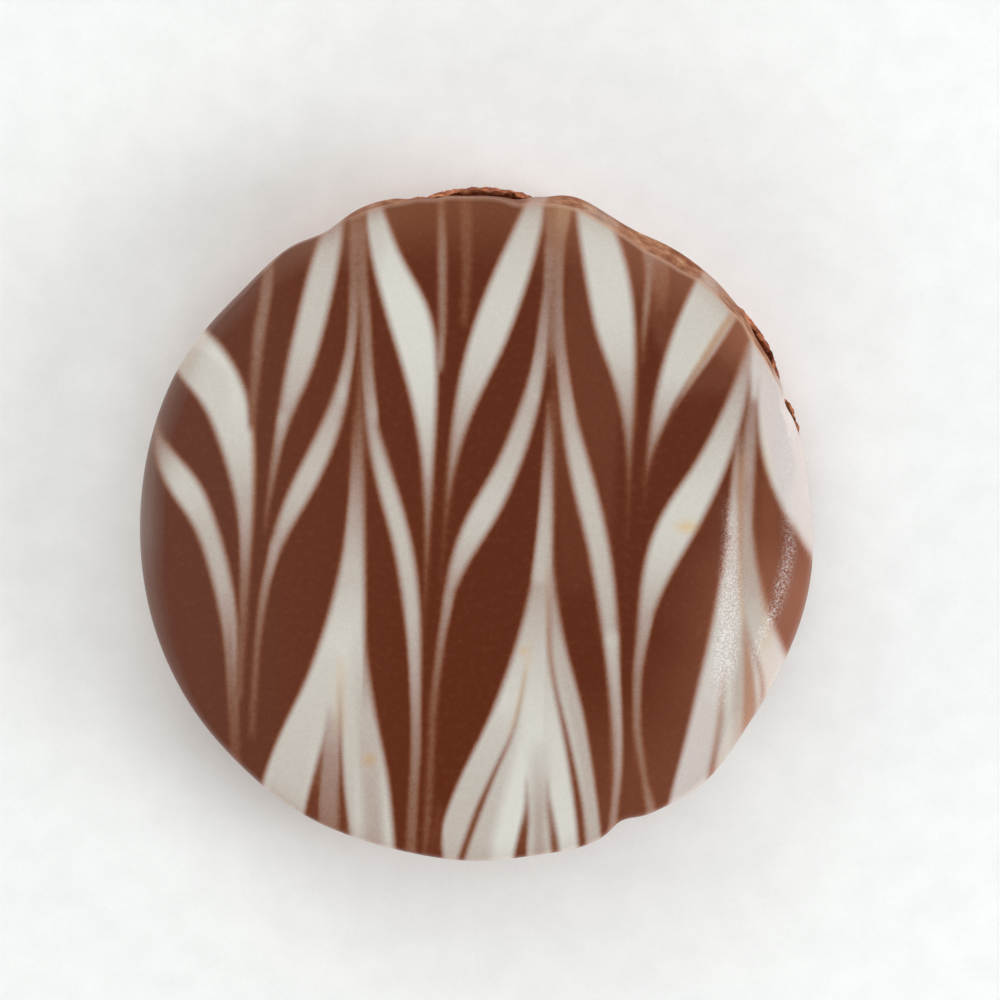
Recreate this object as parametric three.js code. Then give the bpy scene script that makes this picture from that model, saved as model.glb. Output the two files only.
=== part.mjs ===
// A round sandwich cookie under a coat of feather-marbled chocolate.
// Millimetres, +Z up. The origin is the middle of the base, where the cookie rests.
// Angles are in degrees, counted from +X towards +Y. The back, at +Y, is where the coat
// stops short and the crumbly side of the cookie shows.
import * as THREE from "three";

// Driving dimensions
const RADIUS = 26.3; // of the round outline, before its dents and bulges
const HEIGHT = 14; // from the base to the flat top
const COAT_TOP = 1.4; // thickness of the coat on top
const COAT_SIDE = 1.0; // thickness of the coat down the side
const GAP = 0.3; // between the coat and the cookie
const SIDES = 180; // facets round the outline

// Dents and bulges of the outline: where they are, how far they reach out, and how wide they are
const BULGES = [
  { at: 4, out: -0.35, spread: 7 },
  { at: 22, out: -0.35, spread: 2.5 },
  { at: 38, out: 0.3, spread: 14 },
  { at: 62, out: -0.4, spread: 6 },
  { at: 73, out: 0.25, spread: 4 },
  { at: 80, out: -0.3, spread: 4 },
  { at: 100, out: -0.3, spread: 5 },
  { at: 117.5, out: -0.65, spread: 5 },
  { at: 135, out: -0.6, spread: 13 },
  { at: 206, out: 0.38, spread: 26 },
  { at: 239, out: 0.2, spread: 12 },
  { at: 270, out: 0.15, spread: 9 },
  { at: 288, out: 0.3, spread: 6 },
  { at: 296, out: -0.5, spread: 3 },
  { at: 311.5, out: 0.6, spread: 9 },
  { at: 346, out: 0.12, spread: 10 },
];

// In the lists below each pair is a place round the outline, in degrees, and the size there

// How far the widest line of the coat stays inside the outline: the crumbly side fills the rest
const COAT_SETBACK = [
  [5, 0], [13, 0.3], [20, 0.45], [23, 0.2], [27, 0.45], [33, 0.55], [39, 0.25], [46, 0.1],
  [75, 0.1], [79, 0.25], [84, 0.9], [91, 0.9], [96, 0.7], [101, 0.35], [105, 0.15], [130, 0],
];
// From the rim of the flat top out to the widest line of the coat
const SHOULDER_WIDTH = [
  [0, 3.0], [12, 1.0], [24, 0.35], [30, 0.35], [36, 0.45], [41, 0.75], [47, 0.85], [52, 1.15],
  [57, 1.15], [63, 0.8], [73, 0.9], [80, 0.6], [87, 0.2], [100, 0.2], [105, 0.5], [111, 0.5],
  [115, 0.15], [123, 0.2], [138, 0.5], [160, 1.4], [180, 1.8], [200, 1.6], [220, 0.7], [240, 0.35],
  [310, 0.4], [325, 1.6], [338, 3.8], [350, 4.0],
];
// From the flat top down to the widest line of the coat
const SHOULDER_DROP = [
  [0, 2.8], [12, 1.7], [45, 3.0], [73, 2.9], [80, 2.2], [87, 0.8], [100, 0.8], [105, 1.8],
  [111, 1.8], [116, 1.0], [138, 1.7], [180, 2.6], [220, 1.8], [240, 1.2], [310, 1.3], [325, 2.2],
  [340, 3.2], [350, 3.3],
];
// 0 where the shoulder is a straight slope below a sharp rim, 1 where it is a quarter round
const ROUNDNESS = [
  [0, 1], [12, 1], [24, 0.2], [45, 0], [75, 0], [110, 0.4], [135, 0.5], [160, 1], [205, 1],
  [240, 0.7], [320, 0.8], [340, 1],
];
// Height of the hem of the coat above the base
const HEM = [
  [0, 3.4], [14, 6.2], [20, 8.8], [23, 7.6], [28, 9.3], [48, 9.9], [60, 9.6], [72, 9.9],
  [80, 10.4], [87, 11.8], [99, 11.7], [104, 9.6], [118, 8.4], [135, 6.2], [155, 4.3], [180, 3.0],
  [205, 3.6], [228, 2.4], [252, 4.0], [275, 2.9], [295, 3.9], [318, 2.3], [340, 2.5],
];
// How far the crumbly side of the cookie stays inside the outline
const CRUMB_SETBACK = [
  [4, 0.9], [11, 0.25], [20, 0.1], [23, 0.2], [27, 0.1], [35, 0.1], [43, 0.4], [60, 0.5],
  [76, 0.5], [82, 0.3], [100, 0.3], [106, 0.5], [128, 0.95], [180, 1.15], [300, 0.9], [340, 1.0],
];

// Dips of the flat top: a gentle slope near the right edge and a crease at the lower right.
// Each starts at one radius and is at its full depth at another.
const DIPS = [
  { at: 348, spread: 24, start: 18.6, end: 20.8, depth: 0.45 },
  { at: 296.5, spread: 2.6, start: 21.5, end: 25.4, depth: 0.35 },
];

// The coat
const TOP_RINGS = [0.93, 0.84, 0.5]; // facets of the flat top, as shares of the rim's radius
const SHOULDER_RINGS = [1, 0.85, 0.6, 0.3, 0]; // facets of the shoulder, from its foot to the rim
const HEM_TUCK = 0.45; // how far the coat draws in towards its hem
const HEM_LIP = 0.7; // thickness of the coat at its hem
const HEM_ROUND = 0.3; // height of the rounding under the hem
const CEILING_INSET = 0.6; // how far inside the rim the ceiling of the hollow ends
const CEILING_STEP = 0.1; // least drop from that ceiling to the top of the hollow's wall

// The crumbly side: ripples of crumb, each with its height and its count round the outline
const CRUMB_RIPPLES = [
  { high: 0.12, count: 13, rise: 0.7, phase: 1.3 },
  { high: 0.08, count: 29, rise: -1.5, phase: 4.0 },
  { high: 0.05, count: 47, rise: 2.3, phase: 0.5 },
];
const CRUMB_ROWS = 7; // facets up the crumbly side
const FOOT_TUCK = 1.5; // how far the side draws in at the base
const FOOT_RISE = 3.2; // height over which it does
const FOOT_CALM = 0.25; // share of the side, from the base up, over which the ripples grow
const CHIPS = { deep: 0.35, count: 31 }; // chips out of the edge below the hem
const LEDGE_RISE = 0.05; // how much the ledge rises from that edge to the core
const INNER_RING = 0.6; // facets inside the flat base and the core's top, as a share of their radius

const radians = THREE.MathUtils.degToRad;
const smooth = (t) => THREE.MathUtils.smoothstep(t, 0, 1);

// Degrees from one place round the outline to another, the short way, without sign
function apart(a, b) {
  const turn = Math.abs(a - b) % 360;
  return Math.min(turn, 360 - turn);
}

// 1 at the middle of a bump, falling away over its spread
const bump = (angle, { at, spread }) => Math.exp(-((apart(angle, at) / spread) ** 2));

// The size at any angle, eased from pair to pair right round the outline
function along(pairs, angle) {
  const [first, last] = [pairs[0], pairs[pairs.length - 1]];
  const next = pairs.findIndex(([at]) => at > angle);
  const [toAt, to] = next < 0 ? [first[0] + 360, first[1]] : pairs[next];
  const [fromAt, from] = next < 0 ? last : (pairs[next - 1] ?? [last[0] - 360, last[1]]);
  return from + (to - from) * smooth((angle - fromAt) / (toAt - fromAt));
}

const outline = (angle) => BULGES.reduce((r, bulge) => r + bulge.out * bump(angle, bulge), RADIUS);
const coatRadius = (angle) => outline(angle) - along(COAT_SETBACK, angle);
const rimRadius = (angle) => coatRadius(angle) - along(SHOULDER_WIDTH, angle);
const shoulderFoot = (angle) => HEIGHT - along(SHOULDER_DROP, angle);
const hemHeight = (angle) => along(HEM, angle);

// Height of the flat top, with its dips
function topHeight(angle, r) {
  const share = ({ start, end }) => smooth((r - start) / (end - start));
  return DIPS.reduce((height, dip) => height - dip.depth * share(dip) * bump(angle, dip), HEIGHT);
}

// A point of the shoulder: 0 at the rim, 1 at the widest line of the coat
function shoulder(angle, t) {
  const rim = rimRadius(angle);
  const top = topHeight(angle, rim);
  const round = along(ROUNDNESS, angle);
  const fall = round * (1 - Math.sqrt(1 - t * t)) + (1 - round) * t;
  return [rim + along(SHOULDER_WIDTH, angle) * t, top + (shoulderFoot(angle) - top) * fall];
}

// How far the crumb stands out or in at a place on the side of the cookie
function crumb(angle, z) {
  const turn = radians(angle);
  const ripple = ({ high, count, rise, phase }) => high * Math.sin(count * turn + rise * z + phase);
  return CRUMB_RIPPLES.reduce((sum, row) => sum + ripple(row), 0);
}

// A closed skin over rings of points, each ring a function from an angle to [radius, height].
// The first and the last ring close on the axis, at the two heights given.
function skin(firstHeight, rings, lastHeight) {
  const points = [0, 0, firstHeight];
  const faces = [];
  const id = (ring, side) => 1 + ring * SIDES + (side % SIDES);
  rings.forEach((ring, i) => {
    for (let side = 0; side < SIDES; side++) {
      const angle = (side * 360) / SIDES;
      const [r, z] = ring(angle);
      points.push(r * Math.cos(radians(angle)), r * Math.sin(radians(angle)), z);
      if (i === 0) {
        faces.push(0, id(0, side + 1), id(0, side));
      } else {
        faces.push(id(i - 1, side), id(i - 1, side + 1), id(i, side));
        faces.push(id(i - 1, side + 1), id(i, side + 1), id(i, side));
      }
    }
  });
  const pole = points.length / 3;
  points.push(0, 0, lastHeight);
  for (let side = 0; side < SIDES; side++) {
    faces.push(pole, id(rings.length - 1, side), id(rings.length - 1, side + 1));
  }
  const geometry = new THREE.BufferGeometry();
  geometry.setAttribute("position", new THREE.Float32BufferAttribute(points, 3));
  geometry.setIndex(faces);
  return geometry;
}

const ceiling = HEIGHT - COAT_TOP;
const ceilingRadius = (angle) => rimRadius(angle) - CEILING_INSET;
const hemRadius = (angle) => coatRadius(angle) - HEM_TUCK;

// The coat is a cap. Its skin starts at the middle of the hollow's ceiling, runs down the inside,
// round the hem, up the outside and over the shoulder to the middle of the top.
function coatGeometry() {
  const wallTop = (angle) => Math.min(ceiling - CEILING_STEP, shoulderFoot(angle) - CEILING_INSET);
  const waist = (angle) => (shoulderFoot(angle) + hemHeight(angle)) / 2;
  const inside = [
    (angle) => [ceilingRadius(angle), ceiling],
    (angle) => [coatRadius(angle) - COAT_SIDE, wallTop(angle)],
    (angle) => [hemRadius(angle) - HEM_LIP, hemHeight(angle) + HEM_ROUND],
  ];
  const hem = [
    (angle) => [hemRadius(angle) - HEM_LIP / 2, hemHeight(angle)],
    (angle) => [hemRadius(angle), hemHeight(angle) + HEM_ROUND],
  ];
  const side = [(angle) => [coatRadius(angle) - HEM_TUCK / 4, waist(angle)]];
  const shoulders = SHOULDER_RINGS.map((t) => (angle) => shoulder(angle, t));
  const top = TOP_RINGS.map((share) => (angle) => {
    const r = rimRadius(angle) * share;
    return [r, topHeight(angle, r)];
  });
  return skin(ceiling, [...inside, ...hem, ...side, ...shoulders, ...top], HEIGHT);
}

// The cookie has a flat base, a crumbly side up to the ledge below the hem, and above that a
// smooth core that fills the hollow of the coat.
function cookieGeometry() {
  const coreTop = ceiling - GAP;
  const ledge = (angle) => {
    const chip = 0.5 + 0.5 * Math.sin(CHIPS.count * radians(angle));
    return hemHeight(angle) - GAP - CHIPS.deep * chip;
  };
  const sidePoint = (t) => (angle) => {
    const z = ledge(angle) * t;
    const foot = 1 - Math.min(z / FOOT_RISE, 1);
    const r = outline(angle) - along(CRUMB_SETBACK, angle) - FOOT_TUCK * foot * foot;
    return [r + crumb(angle, z) * Math.min(1, t / FOOT_CALM), z];
  };
  const coreRadius = (angle) => hemRadius(angle) - HEM_LIP - GAP;
  const coreWallTop = (angle) =>
    Math.min(coreTop - CEILING_STEP, shoulderFoot(angle) - CEILING_INSET - GAP);
  const base = [(angle) => [sidePoint(0)(angle)[0] * INNER_RING, 0]];
  const side = Array.from({ length: CRUMB_ROWS + 1 }, (_, row) => sidePoint(row / CRUMB_ROWS));
  const core = [
    (angle) => [coreRadius(angle), ledge(angle) + LEDGE_RISE],
    (angle) => [coreRadius(angle), coreWallTop(angle)],
    (angle) => [ceilingRadius(angle) - GAP, coreTop],
    (angle) => [ceilingRadius(angle) * INNER_RING, coreTop],
  ];
  return skin(0, [...base, ...side, ...core], coreTop);
}

function named(name, geometry, color, roughness) {
  const material = new THREE.MeshStandardMaterial({ color, roughness, metalness: 0 });
  const mesh = new THREE.Mesh(geometry, material);
  mesh.name = name;
  return mesh;
}

const cookie = new THREE.Group();
cookie.add(named("marbled_coat", coatGeometry(), 0x6b3a26, 0.42));
cookie.add(named("cookie_body", cookieGeometry(), 0x8a4a2c, 0.85));

export default cookie;
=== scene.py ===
"""Looks of a round sandwich cookie under a coat of feather-marbled chocolate.

Dimensions are in millimetres and angles in degrees from +X towards +Y, as in the solids, and
build_mesh turns them into metres. The back, at +Y, is where the crumbly side shows.
"""

import math

import bpy
import numpy as np
from mathutils import Matrix, Vector, noise


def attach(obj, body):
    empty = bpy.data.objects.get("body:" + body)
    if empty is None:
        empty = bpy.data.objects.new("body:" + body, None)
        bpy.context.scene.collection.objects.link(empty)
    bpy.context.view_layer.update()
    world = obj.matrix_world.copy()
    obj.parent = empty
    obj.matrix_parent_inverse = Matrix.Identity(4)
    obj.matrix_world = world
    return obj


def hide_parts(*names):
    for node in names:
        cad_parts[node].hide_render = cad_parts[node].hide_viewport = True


MM = 0.001

# Driving dimensions, the same as those of the solids
RADIUS = 26.3  # of the round outline, before its dents and bulges
HEIGHT = 14.0  # from the base to the flat top
COAT_TOP = 1.4  # thickness of the coat on top
COAT_SIDE = 1.0  # thickness of the coat down the side
GAP = 0.3  # between the coat and the cookie

# Dents and bulges of the outline: where each is, how far it reaches out, and how wide it is
BULGES = [
    (4, -0.35, 7), (22, -0.35, 2.5), (38, 0.3, 14), (62, -0.4, 6), (73, 0.25, 4), (80, -0.3, 4),
    (100, -0.3, 5), (117.5, -0.65, 5), (135, -0.6, 13), (206, 0.38, 26), (239, 0.2, 12),
    (270, 0.15, 9), (288, 0.3, 6), (296, -0.5, 3), (311.5, 0.6, 9), (346, 0.12, 10),
]

# In the lists below each pair is a place round the outline, in degrees, and the size there.
# How far the widest line of the coat stays inside the outline
COAT_SETBACK = [
    (5, 0), (13, 0.3), (20, 0.45), (23, 0.2), (27, 0.45), (33, 0.55), (39, 0.25), (46, 0.1),
    (75, 0.1), (79, 0.25), (84, 0.9), (91, 0.9), (96, 0.7), (101, 0.35), (105, 0.15), (130, 0),
]
# From the rim of the flat top out to the widest line of the coat
SHOULDER_WIDTH = [
    (0, 3.0), (12, 1.0), (24, 0.35), (30, 0.35), (36, 0.45), (41, 0.75), (47, 0.85), (52, 1.15),
    (57, 1.15), (63, 0.8), (73, 0.9), (80, 0.6), (87, 0.2), (100, 0.2), (105, 0.5), (111, 0.5),
    (115, 0.15), (123, 0.2), (138, 0.5), (160, 1.4), (180, 1.8), (200, 1.6), (220, 0.7),
    (240, 0.35), (310, 0.4), (325, 1.6), (338, 3.8), (350, 4.0),
]
# From the flat top down to the widest line of the coat
SHOULDER_DROP = [
    (0, 2.8), (12, 1.7), (45, 3.0), (73, 2.9), (80, 2.2), (87, 0.8), (100, 0.8), (105, 1.8),
    (111, 1.8), (116, 1.0), (138, 1.7), (180, 2.6), (220, 1.8), (240, 1.2), (310, 1.3), (325, 2.2),
    (340, 3.2), (350, 3.3),
]
# 0 where the shoulder is a straight slope below a sharp rim, 1 where it is a quarter round
ROUNDNESS = [
    (0, 1), (12, 1), (24, 0.2), (45, 0), (75, 0), (110, 0.4), (135, 0.5), (160, 1), (205, 1),
    (240, 0.7), (320, 0.8), (340, 1),
]
# Height of the hem of the coat above the base
HEM = [
    (0, 3.4), (14, 6.2), (20, 8.8), (23, 7.6), (28, 9.3), (48, 9.9), (60, 9.6), (72, 9.9),
    (80, 10.4), (87, 11.8), (99, 11.7), (104, 9.6), (118, 8.4), (135, 6.2), (155, 4.3),
    (180, 3.0), (205, 3.6), (228, 2.4), (252, 4.0), (275, 2.9), (295, 3.9), (318, 2.3),
    (340, 2.5),
]
# How far the crumbly side of the cookie stays inside the outline
CRUMB_SETBACK = [
    (4, 0.9), (11, 0.25), (20, 0.1), (23, 0.2), (27, 0.1), (35, 0.1), (43, 0.4), (60, 0.5),
    (76, 0.5), (82, 0.3), (100, 0.3), (106, 0.5), (128, 0.95), (180, 1.15), (300, 0.9), (340, 1.0),
]

# Dips of the flat top, a slope near its right edge and a crease at the lower right: where each
# is, how wide, the radius where it starts and where it is full, and how deep
DIPS = [(348, 24, 18.6, 20.8, 0.45), (296.5, 2.6, 21.5, 25.4, 0.35)]

# The coat
HEM_TUCK = 0.45  # how far the coat draws in towards its hem
HEM_LIP = 0.7  # thickness of the coat at its hem
HEM_ROUND = 0.3  # height of the rounding under the hem
CEILING_INSET = 0.6  # how far the hollow stays inside the rim and below the shoulder's foot
CEILING_STEP = 0.1  # least drop from the hollow's ceiling to the top of its wall

# The crumbly side: ripples, each with its height, its count round the outline, how far it turns
# with each millimetre up, and where it starts
CRUMB_RIPPLES = [(0.12, 13, 0.7, 1.3), (0.08, 29, -1.5, 4.0), (0.05, 47, 2.3, 0.5)]
FOOT_TUCK = 1.5  # how far the side draws in at the base
FOOT_RISE = 3.2  # height over which it does
FOOT_CALM = 0.25  # share of the side, from the base up, over which the ripples and relief grow
CHIPS_DEEP = 0.35  # depth of the chips out of its lip, below the hem
CHIPS_COUNT = 31

# The fine relief of the crumb: lumps, pits, and cracks that lie flat, each with about how many
# there are in a millimetre and how deep they are
LUMP_RATE, LUMP_DEPTH = 0.8, 0.2
LUMP_OCTAVES = (1.0, 2.0, 5)  # how fast they fade, how much finer each is, and their number
PIT_RATE, PIT_DEPTH = 1.3, 0.25
PIT_LEVEL = 1.1  # how far from the middle of a pit, as a share of its size, its side is flush
CRACK_RATE, CRACK_RISE, CRACK_DEPTH = 0.25, 1.6, 0.3  # along the side, upwards, and how deep
CRACK_START = 7  # where in the noise the cracks start
CRACK_WIDTH = 0.06  # how near to 0 the noise is in a crack

# How finely the two pieces are made
TOP_COLUMNS = 150  # from the middle of the top to its left and right edges
TOP_ROWS = 96  # from the middle of the top to its back and front edges
SHOULDER_ROWS = 12
SIDE_ROWS = 22
HEM_ROWS = 5
CRUMB_SIDES = 900
CRUMB_ROWS = 56
LIP_ROWS = 10

# The groove between the crumb's broken lip and the coat
LIP_GROOVE = 0.9  # how deep it is
LIP_CLEAR = 0.15  # how far outside the coat it reaches that depth
LIP_SHARE = 0.1  # least share of the way in to the core over which it does

# How far the feathers jog to the right as they run down the flank at the back right, where in
# degrees and over how wide a stretch, and the share of the shoulder over which they do
FLANK_JOG = 0.8
JOG_PLACE = (64, 12)
JOG_SHARE = 0.625

# The marbling. Its x runs to the right and its y to the back, from the middle of the top.
# White stripes lay from left to right in the milk chocolate, and tines were combed through them,
# one to the front and the next to the back, by turns. Each tine is the x of its left and of its
# right side at TINE_HEIGHT, at 0 and at -TINE_HEIGHT.
TINE_HEIGHT = 20.0
TINES = [
    ((-24.2, -25.6, -26.2), (-24.5, -26.0, -26.4)),
    ((-16.6, -17.4, -18.9), (-16.0, -16.7, -17.7)),
    ((-9.2, -9.1, -9.2), (-9.2, -9.1, -9.2)),
    ((-2.4, -3.6, -4.6), (-2.0, -2.6, -3.6)),
    ((6.2, 5.6, 5.0), (6.2, 5.6, 5.0)),
    ((12.9, 11.8, 11.0), (13.4, 12.7, 12.2)),
    ((22.5, 20.9, 20.4), (22.5, 20.9, 20.4)),
    ((29.9, 29.3, 28.2), (29.9, 29.3, 28.2)),
]

# The white feathers between each tine and the next, from the back to the front. Each is its
# purity, its back edge and its front edge. An edge is its y midway between the tines, and how far
# it is drawn out along the tine combed to the front and along the one combed to the back. None
# is the front edge of a feather that runs on to the rim.
FEATHERS = [
    [(1, (14.8, 2.5, 1.2), (9.3, 4.6, 1.6)), (1, (3.0, 4.8, 1.8), (-0.6, 5.8, 2.4))],
    [(0.95, (20.6, 7.0, 4.7), (12.3, 4.0, 6.4)), (1, (6.0, 3.7, 3.9), (2.3, 3.1, 3.9)),
     (1.1, (-12.3, 4.2, 6.0), None)],
    [(1.7, (20.6, 2.4, 4.3), (13.3, 4.8, 4.8)), (1.4, (2.9, 4.2, 4.1), (-1.6, 6.4, 4.4)),
     (1.2, (-20.2, 9.0, 5.0), None)],
    [(1, (21.0, 5.0, 4.6), (13.4, 4.1, 5.6)), (1, (4.7, 3.4, 5.3), (0.5, 3.1, 4.7)),
     (0.9, (-15.6, 4.5, 6.0), None)],
    [(1, (24.9, 3.5, 3.0), (15.1, 3.5, 7.0)), (1.2, (4.2, 5.1, 4.7), (-1.4, 6.7, 5.1)),
     (0.9, (-14.6, 7.4, 4.7), None)],
    [(1, (20.6, 5.1, 4.0), (12.1, 3.0, 3.3)), (1, (4.7, 2.9, 4.4), (-0.9, 3.5, 4.3)),
     (1, (-17.0, 8.0, 9.5), None)],
    [(1, (40.0, 4.0, 4.0), (-0.8, 3.0, 3.2)), (1, (-11.6, 4.0, 4.3), None)],
]
OVERLAP = 0.4  # how far the front feathers of two gaps reach over the tine between them
KINK = 3.0  # height over which an edge turns from one of its two reaches to the other
FULL_WHITE = 1.38  # thickness at which a feather is mostly white
EDGE_SOFTNESS = 0.42  # half of the width over which a feather's edge fades

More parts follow.
